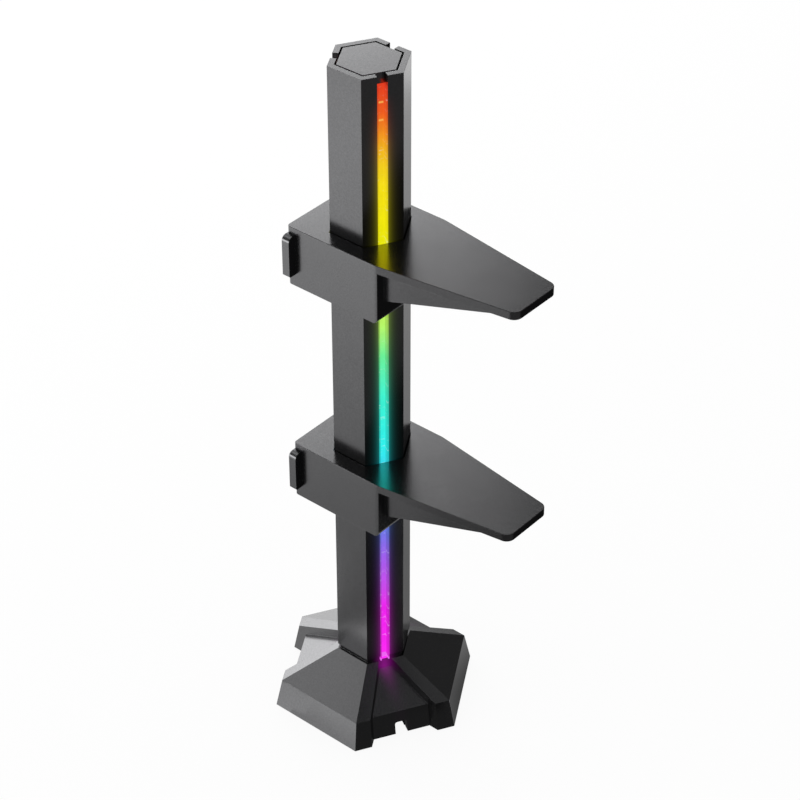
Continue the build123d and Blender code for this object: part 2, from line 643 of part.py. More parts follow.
def make_clamp_pads(top):
    """Two friction pads between the shoe and the column."""
    middle = top - LATCH_MIDDLE
    inner = HALF_FLATS + CLAMP_CLEARANCE
    start = (LATCH_SCREW[1] / 2 + 2 * FIT_CLEARANCE) / COS30
    end = (SHOE_HALF_WIDTH - CLAMP_PAD_MARGIN) / COS30
    pads = []
    for azimuth, side in ((150.0, 1), (210.0, -1)):
        corner = SHOE_APOTHEM * TAN30
        low, high = corner - end, corner - start
        y = (low, high) if side > 0 else (-high, -low)
        height = SHOE_HEIGHT / 2 - CLAMP_PAD_MARGIN
        pad = block((inner, SHOE_APOTHEM), y, (middle - height, middle + height))
        pads.append(Rot(0, 0, azimuth) * pad)
    return pads


def make_latch_springs(top):
    middle = top - LATCH_MIDDLE
    radius = (SPRING_DIAMETER - SPRING_WIRE) / 2
    rise = SPRING_LENGTH - SPRING_WIRE
    path = Helix(rise / SPRING_TURNS, rise, radius)
    start = Plane(path @ 0, z_dir=path % 0)
    coil = sweep(start * Circle(SPRING_WIRE / 2), path=path, is_frenet=True)
    x = CHAMBER_END + FIT_CLEARANCE + SPRING_WIRE / 2
    return [Pos(x, side * SPRING_SPREAD, middle) * Rot(0, 90, 0) * coil for side in (-1, 1)]


def make_latch_screws(top):
    seat = latch_screw_seat()
    length = seat - LATCH_SEAT + LATCH_SCREW_BITE
    size = (LATCH_SCREW[0] - FIT_CLEARANCE, LATCH_SCREW[1], LATCH_SCREW[2])
    lying = Rot(0, -90, 0) * screw(size, length, 0)
    return [Pos(seat, 0, z) * lying for z in latch_screw_heights(top)]


def write(node, shape):
    solids = shape if isinstance(shape, list) else [shape]
    solids = [solid for item in solids for solid in item.solids()]
    export_step(Compound(solids) if len(solids) > 1 else solids[0], f"parts/{node}.step")


def main():
    os.makedirs("parts", exist_ok=True)
    write("column", make_column())
    write("top_cap", make_top_cap())
    for place, azimuth in SLOT_AZIMUTHS.items():
        write(f"light_bar_{place}", make_light_bar(azimuth))
        write(f"led_strip_{place}", make_led_strip(azimuth))
    write("base_shell", make_base_shell())
    write("base_cover", make_base_cover())
    write("foot_pad", make_foot_pad())
    write("base_magnets", make_base_magnets())
    write("column_screws", make_column_screws())
    write("base_cover_screws", make_base_cover_screws())
    write("junction_board", make_junction_board())
    write("lead_socket", make_lead_socket())
    for place, top in ARM_TOPS.items():
        write(f"{place}_arm", make_arm(top))
        write(f"{place}_arm_cover", make_arm_cover(top))
        write(f"{place}_arm_screws", make_arm_screws(top))
        write(f"{place}_latch_plate", make_latch_plate(top))
        write(f"{place}_clamp_shoe", make_clamp_shoe(top))
        write(f"{place}_clamp_pads", make_clamp_pads(top))
        write(f"{place}_latch_springs", make_latch_springs(top))
        write(f"{place}_latch_screws", make_latch_screws(top))


main()
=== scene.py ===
"""Finishes, light and stage for a graphics card support bracket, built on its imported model.

The part's frame is in metres: +Z runs up the column from the floor, +X along the blades.
Azimuths are in degrees from +X towards +Y, and elevations in degrees above the floor.
"""

import json
import math

import bmesh
import bpy
from bpy.props import FloatProperty, FloatVectorProperty, PointerProperty
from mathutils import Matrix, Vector


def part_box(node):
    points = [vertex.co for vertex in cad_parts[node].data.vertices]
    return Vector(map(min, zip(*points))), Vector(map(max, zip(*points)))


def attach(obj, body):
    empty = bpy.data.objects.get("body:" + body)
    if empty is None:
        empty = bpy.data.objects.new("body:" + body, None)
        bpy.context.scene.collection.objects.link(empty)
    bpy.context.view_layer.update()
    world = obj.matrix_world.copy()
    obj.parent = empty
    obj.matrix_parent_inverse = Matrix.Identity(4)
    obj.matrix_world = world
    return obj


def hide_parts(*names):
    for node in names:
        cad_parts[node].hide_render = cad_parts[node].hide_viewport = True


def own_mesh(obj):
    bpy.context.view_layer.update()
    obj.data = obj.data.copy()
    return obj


bl_info = {
    "name": "Card Bracket",
    "version": (1, 0, 0),
    "blender": (4, 5, 0),
    "location": "View3D > Sidebar > Card Bracket",
    "description": "Finishes, light and stage for a graphics card support bracket",
    "category": "Object",
}

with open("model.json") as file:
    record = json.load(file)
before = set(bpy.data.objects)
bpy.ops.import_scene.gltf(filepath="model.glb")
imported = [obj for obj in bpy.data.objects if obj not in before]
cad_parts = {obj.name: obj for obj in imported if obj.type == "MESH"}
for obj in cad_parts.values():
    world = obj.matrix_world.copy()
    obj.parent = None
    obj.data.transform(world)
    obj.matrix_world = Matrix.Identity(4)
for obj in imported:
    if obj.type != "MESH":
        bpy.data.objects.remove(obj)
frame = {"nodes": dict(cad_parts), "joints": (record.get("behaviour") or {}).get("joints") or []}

MM = 0.001
SIDES = ("front", "rear", "left")
ARMS = ("upper", "lower")

# light slots, and the bars in them
SLOT_AZIMUTHS = (330, 90, 210)
SLOT_HALF_WIDTH = 1.375 * MM
BAR_FLOOR = 7.2 * MM
LIGHT_BOTTOM, LIGHT_TOP = (corner.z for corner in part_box("light_bar_front"))
SOFT_EDGE = 0.1 * MM
FADE = math.exp(-1)

# painted halo: light painted on the column beside a slot, measured from the column's axis, and its
# fade below the head
HALO_START = 9.3 * MM
HALO_HEAD_GAP = 2 * MM
HALO_HEAD_FADE = 16 * MM

# painted light on the base, measured outwards from the start of the painted halo
TONGUE_SHARES = (1.0, 1.0, 0.25)
TONGUE_BACK = (-2.2 * MM, -2.0 * MM)
LEDGE_RIM = (-0.52 * MM, -0.6 * MM)
LEDGE_GAIN = 4.0

# film of the bars: unevenness, streaks, painted shade on the side walls, creases, pale foot, and
# painted shade at the dark ends
FILM_LEVEL = 0.86
FILM_UNEVENNESS = 0.28
FILM_ROUGHNESS = 0.45
FILM_GLOSS_SPREAD = 0.2
FILM_SPECULAR = 0.12
PATCH_SIZE = 2.4 * MM
PATCH_DEPTH = 0.04 * MM
STREAK_SIZE = 3.2 * MM
STREAK_STRETCH = (1.0, 1.0, 5.0)
STREAK_TURN = (0.5, 0.2, 0.0)
STREAK_RANGE = (0.60, 0.68)
STREAK_SHARE = 0.25
# painted shade on the side walls of a bar, deeper below the change of height
WALL_SHADE = 0.1
WALL_SHADE_ADDED_BELOW = 0.25
WALL_CHANGE = (150 * MM, 135 * MM)
CREASE_HEIGHTS = (196.9 * MM, 191.9 * MM)
CREASE_SPREAD = (0.4 * MM, 0.1 * MM)
CREASE_SHARE = 0.75
CREASE_COLOUR = (1.0, 0.78, 0.38)
FOOT_TOP = 17.3 * MM
FOOT_COLOUR = (0.92, 0.42, 0.94)
# painted shade: the head of the rear and left bars is darkened over this length
DARK_END = 1.6 * MM
UNLIT_SHARE = 0.05

# colours of the light run, from its foot to its head, with the share of the height of each
LIGHT_RUN = (
    (0.000, (1.00, 0.17, 0.96)),
    (0.110, (0.93, 0.14, 0.93)),
    (0.150, (0.80, 0.30, 0.93)),
    (0.210, (0.62, 0.38, 0.93)),
    (0.260, (0.42, 0.48, 0.91)),
    (0.360, (0.25, 0.80, 0.94)),
    (0.410, (0.19, 0.94, 0.93)),
    (0.500, (0.25, 0.95, 0.82)),
    (0.570, (0.42, 0.94, 0.60)),
    (0.620, (0.72, 0.97, 0.42)),
    (0.720, (0.89, 0.92, 0.05)),
    (0.792, (0.94, 0.90, 0.06)),
    (0.845, (0.95, 0.87, 0.09)),
    (0.876, (0.94, 0.80, 0.12)),
    (0.903, (0.94, 0.70, 0.13)),
    (0.929, (0.94, 0.55, 0.13)),
    (0.956, (0.92, 0.37, 0.13)),
    (1.000, (0.88, 0.23, 0.13)),
)

# graphite coat: the column is blasted finer than the other pieces
COAT_GRAIN_SIZE = 0.36 * MM
COAT_GRAIN_DEPTH = 0.0025 * MM
COLUMN_GRAIN_DEPTH = 0.001 * MM
COAT_CLOUD_SIZE = 9 * MM
COAT_GRAIN_SHARE = 0.85
COAT_SHADE_RANGE = (0.25, 0.75)
COAT_GLOSS_SPREAD = 0.03
# spots of bare metal on the edges, partly wear and partly a painted edge highlight
WEAR_SPOT_SIZE = 1.6 * MM
WEAR_SPOT_RANGE = (0.42, 0.66)
WEAR_GLOSS = 0.08
EDGE_TURN = (0.02, 0.22)
BEVEL_SAMPLES = 6

# mouldings and the printed board
DARKER, PALER = 0.8, 1.25
MOULDING_CLOUD_SIZE = 6 * MM
MOULDING_SHADE_RANGE = (0.3, 0.7)
MOULDING_GLOSS_SPREAD = 0.1
TRACK_PITCH = 1.9 * MM
TRACK_UNEVENNESS = 0.35
TRACK_EDGE = (0.05, 0.09)
TRACK_DEPTH = 0.03 * MM
BOARD_CLOUD_SIZE = 2.5 * MM
BOARD_ROUGHNESS = 0.32
BOARD_GLOSS_SPREAD = 0.12

# plated metal, with spots where the plating is thin
PLATE_DARKER, PLATE_PALER = 0.85, 1.12
PLATE_GRAIN_DEPTH = 0.01 * MM
PLATE_GLOSS_SPREAD = 0.06
THIN_SPOT_SIZE = 1.1 * MM
THIN_SPOT_RANGE = (0.58, 0.74)
THIN_SPOT_SHARE = 0.4
THIN_SPOT_TINT = 0.55
THIN_SPOT_GLOSS_LOSS = 0.14

# latch springs
SPRING_WIRE = 0.4 * MM
SPRING_TURNS = 3.5
RINGS_IN_A_TURN = 24
POINTS_IN_A_RING = 10

# camera, as fitted to the corners of the column
CAMERA_PLACE = (0.34897, -0.40490, 0.49504)
CAMERA_AIM = (-0.5174, 0.6176, -0.5924)
SENSOR_WIDTH = 36.0
CLIP_NEAR, CLIP_FAR = 0.01, 50.0

# lamps: name, azimuth, elevation, distance, width and height, radiance
LAMP_TARGET = (0.0, 0.0, 0.1)
LAMPS = (
    ("back_left_softbox", 152, 19.6, 0.75, (0.73, 0.42), 2.2),
    ("front_left_softbox", 228, 3, 0.6, (0.46, 0.22), 2.5),
)

# floor, and cards that the metal mirrors
FLOOR_CLOUD_SIZE = 0.2
FLOOR_CLOUD_SHADE = 0.99
CARD_STEPS = 24
CARD_LIFT = 0.05 * MM
AIR_CARD_DISTANCE = 1.4
WIDE_SPAN = (0.035, 0.35)


class Wire:
    """An output socket of a node. Sums and products of wires add Math nodes beside it."""

    def __init__(self, socket):
        self.socket = socket

    def __getitem__(self, name):
        return Wire(self.socket.node.outputs[name])

    def math(self, operation, *values):
        return place(self.socket.id_data, "Math", {"operation": operation}, dict(enumerate(values)))

    def __add__(self, other):
        return self.math("ADD", self, other)

    def __radd__(self, other):
        return self.math("ADD", other, self)

    def __sub__(self, other):
        return self.math("SUBTRACT", self, other)

    def __rsub__(self, other):
        return self.math("SUBTRACT", other, self)

    def __mul__(self, other):
        return self.math("MULTIPLY", self, other)

    def __rmul__(self, other):
        return self.math("MULTIPLY", other, self)

    def __truediv__(self, other):
        return self.math("DIVIDE", self, other)

    def __pow__(self, other):
        return self.math("POWER", self, other)

    def __rpow__(self, other):
        return self.math("POWER", other, self)

    def __abs__(self):
        return self.math("ABSOLUTE", self)

    def held(self, low, high):
        """This value brought from the range low to high into 0 to 1, and held there."""
        sockets = {"Value": self, "From Min": low, "From Max": high}
        return place(self.socket.id_data, "MapRange", {"clamp": True}, sockets)


def place(tree, kind, settings=None, sockets=None):
    """Adds a shader node: its settings first, then the values or wires of its sockets."""
    node = tree.nodes.new(f"ShaderNode{kind}")
    for name, value in (settings or {}).items():
        if name == "stops":
            ramp = node.color_ramp.elements
            while len(ramp) < len(value):
                ramp.new(1.0)
            for stop, (position, colour) in zip(ramp, value):
                stop.position = position
                stop.color = opaque(colour)
        else:
            setattr(node, name, value)
    for name, value in (sockets or {}).items():
        if isinstance(name, int):
            target = node.inputs[name]
        else:
            target = next(s for s in node.inputs if s.enabled and s.name == name)
        if isinstance(value, Wire):
            tree.links.new(value.socket, target)
        else:
            target.default_value = value
    outputs = [s for s in node.outputs if s.enabled]
    return Wire(outputs[0]) if outputs else None


def linear(colour):
    """A display colour with channels from 0 to 1, as the linear colour that shaders use."""
    return tuple(c / 12.92 if c <= 0.04045 else ((c + 0.055) / 1.055) ** 2.4 for c in colour)


def opaque(colour):
    return (*colour[:3], 1.0)


def grey(value):
    return (value, value, value, 1.0)


def tinted(colour, gain):
    """A colour made darker or paler."""
    return opaque([c * gain for c in colour])


def mixed(tree, share, low, high):
    """The colour low where share is 0, and high where it is 1."""
    return place(tree, "Mix", {"data_type": "RGBA"}, {"Factor": share, "A": low, "B": high})


def scaled(tree, colour, strength):
    """A colour times a strength that may vary over the surface."""
    return place(tree, "VectorMath", {"operation": "SCALE"}, {0: colour, "Scale": strength})


def along(tree, vector, way):
    """How far a vector reaches along a way."""
    return place(tree, "VectorMath", {"operation": "DOT_PRODUCT"}, {0: vector, 1: way})["Value"]


def new_material(name):
    """An empty node material, and its tree."""
    material = bpy.data.materials.new(name)
    material.use_nodes = True
    tree = material.node_tree
    tree.nodes.clear()
    return material, tree


def close(tree, kind, sockets):
    """Ends a material's tree with its shader and its output."""
    place(tree, "OutputMaterial", None, {"Surface": place(tree, kind, None, sockets)})


def own_place(tree):
    """The place on the piece, which stays with it when it moves."""
    return place(tree, "TexCoord")["Object"]


def height_at(tree, where):
    return place(tree, "SeparateXYZ", None, {"Vector": where})["Z"]


def noise(tree, where, size, detail, roughness):
    """Fractal noise with spots of the given size in metres."""
    sockets = {"Vector": where, "Scale": 1 / size, "Detail": detail, "Roughness": roughness}
    return place(tree, "TexNoise", None, sockets)


def grain_bump(tree, height, depth, strength=1.0):
    """Normal of a surface that a height pattern roughens to the given depth in metres."""
    return place(tree, "Bump", None, {"Strength": strength, "Distance": depth, "Height": height})


def edge_mask(tree, radius, soft):
    """1 on the outer edges of a piece and 0 on its faces, with the softened normal."""
    rounded = place(tree, "Bevel", {"samples": BEVEL_SAMPLES}, {"Radius": soft})
    wide = place(tree, "Bevel", {"samples": BEVEL_SAMPLES}, {"Radius": radius})
    turn = along(tree, wide, place(tree, "NewGeometry")["True Normal"])
    return (1.0 - turn).held(*EDGE_TURN), rounded


def light_run(tree, where):
    """Colour of the light at the height of a place."""
    share = height_at(tree, where).held(LIGHT_BOTTOM, LIGHT_TOP)
    stops = [(height, linear(colour)) for height, colour in LIGHT_RUN]
    return place(tree, "ValToRGB", {"stops": stops}, {"Fac": share})


def slot_ways(azimuth):
    """The way out of a light slot, and the way across it."""
    a = math.radians(azimuth)
    return (math.cos(a), math.sin(a), 0.0), (-math.sin(a), math.cos(a), 0.0)


def outwards(tree, where):
    """Distance from the column's axis along the nearest slot's own direction."""
    first, second, third = (along(tree, where, slot_ways(azimuth)[0]) for azimuth in SLOT_AZIMUTHS)
    nearer = first.math("MAXIMUM", first, second)
    return nearer.math("MAXIMUM", nearer, third)


def painted_slot_glow(tree, where, settings):
    """Painted glow: a soft halo painted on the faces beside the three light slots, in the light's
    own colour.
    """
    halos = []
    for azimuth in SLOT_AZIMUTHS:
        out, across = slot_ways(azimuth)
        face = along(tree, where, out).held(HALO_START, HALO_START + SOFT_EDGE)
        distance = abs(along(tree, where, across)) - SLOT_HALF_WIDTH
        halos.append(FADE ** (distance / (settings.halo_reach * MM)) * face)
    below_head = height_at(tree, where).held(LIGHT_TOP - HALO_HEAD_GAP, LIGHT_TOP - HALO_HEAD_FADE)
    return scaled(tree, light_run(tree, where), sum(halos) * below_head * settings.halo)


def painted_foot_glow(tree, where, settings):
    """Painted light: tongues of light painted on the base, which run outwards from the foot of each
    light slot.
    """
    tongues = []
    for azimuth, share in zip(SLOT_AZIMUTHS, TONGUE_SHARES):
        out, across = slot_ways(azimuth)
        run = along(tree, where, out) - HALO_START
        aside = along(tree, where, across) / (settings.tongue_width * MM)
        spread = aside ** 2.0 + run / (settings.tongue_length * MM)
        ledge = 1.0 + LEDGE_GAIN * run.held(*LEDGE_RIM)
        tongues.append(FADE ** spread * run.held(*TONGUE_BACK) * ledge * share)
    foot = linear(LIGHT_RUN[0][1])
    return scaled(tree, foot, sum(tongues) * settings.tongue)


def graphite(name, settings, grain_depth=COAT_GRAIN_DEPTH, glow=None, light=None):
    """Satin graphite on aluminium: fine blasted grain, slow cloudiness, edges paled by wear and a
    painted highlight, and any glow painted on.
    """
    material, tree = new_material(name)
    where = own_place(tree)
    grain = noise(tree, where, COAT_GRAIN_SIZE, 3.0, 0.6)
    cloud = noise(tree, where, COAT_CLOUD_SIZE, 3.0, 0.55)
    edge, rounded = edge_mask(tree, settings.wear_width * MM, settings.edge_round * MM)
    spots = noise(tree, where, WEAR_SPOT_SIZE, 4.0, 0.6).held(*WEAR_SPOT_RANGE)
    # paler edges: partly wear, partly a painted highlight where the edges catch light
    wear_and_highlight = edge * spots * settings.wear
    shade = grain * COAT_GRAIN_SHARE + cloud * (1 - COAT_GRAIN_SHARE)
    dark = tinted(settings.colour, 1 - settings.mottle)
    pale = tinted(settings.colour, 1 + settings.mottle)
    coat = mixed(tree, shade.held(*COAT_SHADE_RANGE), dark, pale)
    gloss = settings.roughness - COAT_GLOSS_SPREAD
    gloss = gloss + COAT_GLOSS_SPREAD * grain + COAT_GLOSS_SPREAD * cloud - WEAR_GLOSS * wear_and_highlight
    bump = {"Strength": 1.0, "Distance": grain_depth, "Height": grain, "Normal": rounded}
    sockets = {
        "Base Color": mixed(tree, wear_and_highlight, coat, opaque(settings.bare_and_highlight_colour)),
        "Metallic": 1.0,
        "Roughness": gloss,
        "Normal": place(tree, "Bump", None, bump),
    }
    if glow:
        sockets.update({"Emission Color": glow(tree, where, light), "Emission Strength": 1.0})
    close(tree, "BsdfPrincipled", sockets)
    return material


def film_creases(tree, where):
    """Thin creases across the floor of each bar near its head."""
    height = height_at(tree, where)
    floor = outwards(tree, where).held(BAR_FLOOR + 2 * SOFT_EDGE, BAR_FLOOR + SOFT_EDGE)
    return sum(abs(height - level).held(*CREASE_SPREAD) * floor for level in CREASE_HEIGHTS)


def diffuser(name, settings, dark_end=0.0):
    """Milky bar lit from behind by the light run, with a streaked film, painted shade on its walls
    and maybe its head.
    """
    material, tree = new_material(name)
    where = own_place(tree)
    height = height_at(tree, where)
    run = light_run(tree, where)
    patch = noise(tree, where, PATCH_SIZE, 4.0, 0.65)
    stretch = {"Vector": where, "Scale": STREAK_STRETCH, "Rotation": STREAK_TURN}
    stretched = place(tree, "Mapping", None, stretch)
    streak = noise(tree, stretched, STREAK_SIZE, 5.0, 0.6).held(*STREAK_RANGE)
    # painted shade: the side walls emit less outwards, and less again below the change of height
    wall_shade = WALL_SHADE + WALL_SHADE_ADDED_BELOW * height.held(*WALL_CHANGE)
    wall = 1.0 - wall_shade * outwards(tree, where).held(BAR_FLOOR, BAR_FLOOR + MM)
    spill = 1.0 + (settings.spill - 1.0) * (1.0 - place(tree, "LightPath")["Is Camera Ray"])
    film = scaled(tree, run, (FILM_LEVEL + FILM_UNEVENNESS * patch) * wall * spill)
    film = mixed(tree, streak * STREAK_SHARE, film, grey(1.0))
    foot = height.held(FOOT_TOP + SOFT_EDGE, FOOT_TOP - SOFT_EDGE)
    film = mixed(tree, foot, film, opaque(linear(FOOT_COLOUR)))
    creases = film_creases(tree, where) * CREASE_SHARE
    film = mixed(tree, creases, film, opaque(linear(CREASE_COLOUR)))
    if dark_end:
        # painted shade at the head of the bar
        film = scaled(tree, film, height.held(LIGHT_TOP - dark_end / 2, LIGHT_TOP - dark_end))
    close(tree, "BsdfPrincipled", {
        "Base Color": scaled(tree, run, UNLIT_SHARE),
        "Roughness": FILM_ROUGHNESS + FILM_GLOSS_SPREAD * patch,
        "Specular IOR Level": FILM_SPECULAR,
        "Normal": grain_bump(tree, patch, PATCH_DEPTH, 0.5),
        "Emission Color": film,
        "Emission Strength": settings.strength,
    })
    return material


def moulding(name, colour, roughness, grain_size, grain_depth):
    """Moulded plastic or rubber with a fine spark-eroded grain, sized in millimetres."""
    material, tree = new_material(name)
    where = own_place(tree)
    grain = noise(tree, where, grain_size * MM, 2.0, 0.5)
    cloud = noise(tree, where, MOULDING_CLOUD_SIZE, 3.0, 0.5)
    shade = (0.5 * grain + 0.5 * cloud).held(*MOULDING_SHADE_RANGE)
    close(tree, "BsdfPrincipled", {
        "Base Color": mixed(tree, shade, tinted(colour, DARKER), tinted(colour, PALER)),
        "Roughness": roughness - MOULDING_GLOSS_SPREAD / 2 + MOULDING_GLOSS_SPREAD * shade,
        "Normal": grain_bump(tree, grain, grain_depth * MM),
    })
    return material


def plated(name, colour, roughness, grain_size):
    """Plated metal with a faint grain, sized in millimetres, and spots of thin plating."""
    material, tree = new_material(name)
    where = own_place(tree)
    grain = noise(tree, where, grain_size * MM, 3.0, 0.6)
    spot = noise(tree, where, THIN_SPOT_SIZE, 4.0, 0.6).held(*THIN_SPOT_RANGE)
    plate = mixed(tree, grain, tinted(colour, PLATE_DARKER), tinted(colour, PLATE_PALER))
    thin = tinted(colour, THIN_SPOT_TINT)
    close(tree, "BsdfPrincipled", {
        "Base Color": mixed(tree, spot * THIN_SPOT_SHARE, plate, thin),
        "Metallic": 1.0,
        "Roughness": roughness + THIN_SPOT_GLOSS_LOSS * spot + PLATE_GLOSS_SPREAD * grain,
        "Normal": grain_bump(tree, grain, PLATE_GRAIN_DEPTH, 0.6),
    })
    return material


def printed_board(name, colour, track_colour):
    """Solder-masked board: tracks show as paler lines under the mask, in cells of a fine grid."""
    material, tree = new_material(name)
    where = own_place(tree)
    pattern = {"feature": "DISTANCE_TO_EDGE", "distance": "MANHATTAN"}
    grid = {"Vector": where, "Scale": 1 / TRACK_PITCH, "Randomness": TRACK_UNEVENNESS}
    track = 1.0 - place(tree, "TexVoronoi", pattern, grid).held(*TRACK_EDGE)
    cloud = noise(tree, where, BOARD_CLOUD_SIZE, 3.0, 0.5)
    mask = mixed(tree, cloud, tinted(colour, DARKER), tinted(colour, PALER))
    close(tree, "BsdfPrincipled", {
        "Base Color": mixed(tree, track, mask, opaque(track_colour)),
        "Roughness": BOARD_ROUGHNESS + BOARD_GLOSS_SPREAD * cloud,
        "Normal": grain_bump(tree, track, TRACK_DEPTH, 0.7),
    })
    return material


def dress(material, *nodes):
    """Puts a material on every slot of the given nodes of the frame."""
    for node in nodes:
        for slot in frame["nodes"][node].material_slots:
            slot.material = material


def link(obj):
    bpy.context.scene.collection.objects.link(obj)
    return obj


def steps_between(low, high, count=CARD_STEPS):
    return [low + (high - low) * step / count for step in range(count + 1)]


def coil(start, end, radius):
    """Rings of points along a spring's wire, which winds round a line that runs along X."""
    length_way = Vector((1.0, 0.0, 0.0))
    angles = [2 * math.pi * point / POINTS_IN_A_RING for point in range(POINTS_IN_A_RING)]
    rings = []
    for share in steps_between(0.0, 1.0, round(SPRING_TURNS * RINGS_IN_A_TURN)):
        turn = 2 * math.pi * SPRING_TURNS * share
        out = Vector((0.0, math.cos(turn), math.sin(turn)))
        middle = start.lerp(end, share) + out * radius
        ways = [out * math.cos(a) + length_way * math.sin(a) for a in angles]
        rings.append([middle + way * SPRING_WIRE / 2 for way in ways])
    return rings


def wires(name, coils):
    """One piece from the rings of several springs, with closed ends."""
    shape = bmesh.new()
    for rings in coils:
        rows = [[shape.verts.new(point) for point in ring] for ring in rings]
        for row, after in zip(rows, rows[1:]):
            for index in range(POINTS_IN_A_RING):
                shape.faces.new((row[index - 1], row[index], after[index], after[index - 1]))
        shape.faces.new(rows[0])
        shape.faces.new(rows[-1])
    bmesh.ops.recalc_face_normals(shape, faces=shape.faces)
    mesh = bpy.data.meshes.new(name)
    shape.to_mesh(mesh)
    shape.free()
    mesh.shade_smooth()
    return link(bpy.data.objects.new(name, mesh))


def towards(azimuth, elevation, distance):
    """A point at the given angles and distance from where the column's axis meets the floor."""
    a, e = math.radians(azimuth), math.radians(elevation)
    flat = math.cos(e) * distance
    return Vector((math.cos(a) * flat, math.sin(a) * flat, math.sin(e) * distance))


def softbox(name, azimuth, elevation, distance, size, radiance):
    """A rectangular lamp turned to the middle of the bracket, hidden from the camera."""
    lamp = bpy.data.lights.new(name, "AREA")
    lamp.shape = "RECTANGLE"
    lamp.size, lamp.size_y = size
    lamp.energy = radiance * size[0] * size[1] * math.pi
    box = link(bpy.data.objects.new(name, lamp))
    out = towards(azimuth, elevation, distance)
    box.location = Vector(LAMP_TARGET) + out
    box.rotation_euler = out.to_track_quat("Z", "Y").to_euler()
    box.visible_camera = False


def sheet(name, rows):
    """A sheet through rows of points, joined by four-sided faces."""
    width = len(rows[0])
    starts = [row * width + step for row in range(len(rows) - 1) for step in range(width - 1)]
    faces = [(start, start + 1, start + width + 1, start + width) for start in starts]
    mesh = bpy.data.meshes.new(name)
    mesh.from_pydata([point for row in rows for point in row], [], faces)
    return link(bpy.data.objects.new(name, mesh))


def card_on_floor(name, azimuths, reach, layer):
    """A flat card on the floor round part of the bracket, from one distance to another."""
    lift = Vector((0.0, 0.0, layer * CARD_LIFT))
    angles = steps_between(*azimuths)
    return sheet(name, [[towards(a, 0, distance) + lift for a in angles] for distance in reach])


def kerb(name, azimuths, distance, height):
    """A low card that stands round part of the bracket."""
    edges = [Vector((0.0, 0.0, z)) for z in (0.0, height)]
    angles = steps_between(*azimuths)
    return sheet(name, [[towards(a, 0, distance) + edge for a in angles] for edge in edges])


def card_in_air(name, azimuths, elevations):
    """A curved card round part of the set, between two azimuths and two elevations."""
    angles = steps_between(*azimuths)
    return sheet(name, [
        [towards(a, e, AIR_CARD_DISTANCE) for a in angles] for e in steps_between(*elevations)
    ])


# Cards in the order they are set up: shape, name, azimuths, what else the shape asks for, radiance
# at the near and far end of a span of distances, and that span. Only reflections show the cards.
# Where cards on the floor overlap, the higher layer shows.
CARDS = (
    (card_on_floor, "dark_mat", (-100, 20), (0.001, 1.4), 1, (0.06, 0.11), (0.08, 0.22)),
    (card_on_floor, "slot_mat", (-24, -8), (0.044, 0.09), 2, (0.012, 0.012), WIDE_SPAN),
    (card_on_floor, "right_mat", (20, 78), (0.07, 1.4), 1, (0.02, 0.02), WIDE_SPAN),
    (card_on_floor, "right_foot_mat", (0, 85), (0.001, 0.07), 2, (0.12, 0.42), (0.026, 0.04)),
    (card_on_floor, "arm_foot_mat", (5, 32), (0.042, 0.078), 3, (2.2, 2.2), WIDE_SPAN),
    (card_on_floor, "back_mat", (78, 130), (0.001, 0.36), 1, (0.19, 0.56), WIDE_SPAN),
    (card_on_floor, "rear_left_mat", (130, 165), (0.001, 0.36), 1, (1.55, 1.55), WIDE_SPAN),
    (card_on_floor, "left_mat", (165, 246), (0.001, 0.36), 1, (0.27, 1.32), WIDE_SPAN),
    (card_on_floor, "left_foot_mat", (165, 228), (0.001, 0.06), 2, (0.75, 0.75), WIDE_SPAN),
    (card_on_floor, "front_left_mat", (246, 262), (0.001, 0.36), 2, (0.34, 0.56), WIDE_SPAN),
    (card_on_floor, "left_far_mat", (208, 224), (0.046, 0.07), 3, (2.0, 2.0), WIDE_SPAN),
    (card_on_floor, "front_far_mat", (262, 277), (0.09, 0.36), 2, (0.2, 0.5), (0.1, 0.3)),
    (card_on_floor, "front_edge_mat", (238, 249), (0.02, 0.031), 3, (1.25, 1.25), WIDE_SPAN),
    (kerb, "front_left_kerb", (234, 249), 0.0308, 0.0076, (1.2, 1.2), WIDE_SPAN),
    (kerb, "front_kerb", (249, 257), 0.0308, 0.007, (1.2, 1.2), WIDE_SPAN),
    (card_on_floor, "front_foot_mat", (249, 300), (0.02, 0.056), 3, (0.95, 1.3), (0.03, 0.042)),
    (card_in_air, "side_card", (-75, 125), (0, 62), (0.085, 0.085), WIDE_SPAN),
    (card_in_air, "back_card", (125, 180), (38, 62), (0.6, 0.6), WIDE_SPAN),
    (card_in_air, "front_card", (214, 285), (18, 62), (0.15, 0.15), WIDE_SPAN),
    (card_in_air, "top_card", (-75, 285), (62, 90), (0.18, 0.18), WIDE_SPAN),
)


def card_light(name, near, far, span):
    """Light of a card, which changes from near to far over a span of distances."""
    material, tree = new_material(name)
    reach = place(tree, "VectorMath", {"operation": "LENGTH"}, {0: own_place(tree)})["Value"]
    close(tree, "BsdfPrincipled", {
        "Base Color": grey(0.0),
        "Specular IOR Level": 0.0,
        "Emission Color": mixed(tree, reach.held(*span), grey(near), grey(far)),
        "Emission Strength": 1.0,
    })
    return material


def stage_card(card, near, far, span):
    """Lights a card and hides it from all but reflections."""
    card.data.materials.append(card_light(f"{card.name}_light", near, far, span))
    card.visible_camera = False
    card.visible_diffuse = False
    card.visible_shadow = False
    card.visible_transmission = False


def seen(tree):
    """1 for rays of the camera, of gloss and of clear materials, which see the same background."""
    path = place(tree, "LightPath")
    return path["Is Camera Ray"] + path["Is Glossy Ray"] + path["Is Transmission Ray"]


